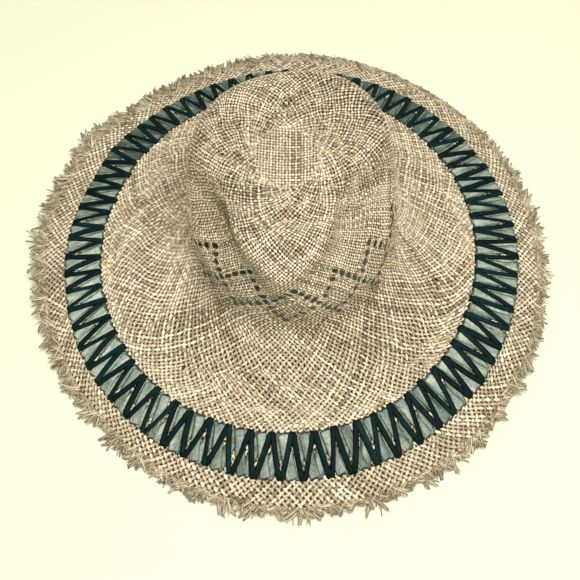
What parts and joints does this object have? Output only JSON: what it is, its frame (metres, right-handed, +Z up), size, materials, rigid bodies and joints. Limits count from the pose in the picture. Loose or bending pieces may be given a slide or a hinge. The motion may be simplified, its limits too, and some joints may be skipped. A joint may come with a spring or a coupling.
{
  "type": "straw hat",
  "caption": "Wide-brimmed woven straw hat with a pinched teardrop crown, openwork diamonds, a dark zigzag ribbon over a pale one and a frayed straw edge",
  "frame": {"origin": "middle of the hat's bounding box, on the surface it rests on", "axes": "+X is the wearer's left when worn, which is the right side in the picture; +Y is the back; +Z is up, and the pinched front faces -Y"},
  "size_m": [0.4642, 0.496, 0.1433],
  "materials": {
    "straw": "woven palm straw, semi-matt",
    "bare_straw": "bare frayed straw, semi-matt",
    "pale_ribbon": "sheer sea-green ribbon, soft sheen",
    "dark_ribbon": "dark petrol ribbon, soft sheen"
  },
  "bodies": {
    "root": {"crown": "straw", "brim": "straw", "straw_fringe": "bare_straw", "pale_ribbon": "pale_ribbon", "zigzag_ribbon": "dark_ribbon"}
  },
  "joints": []
}
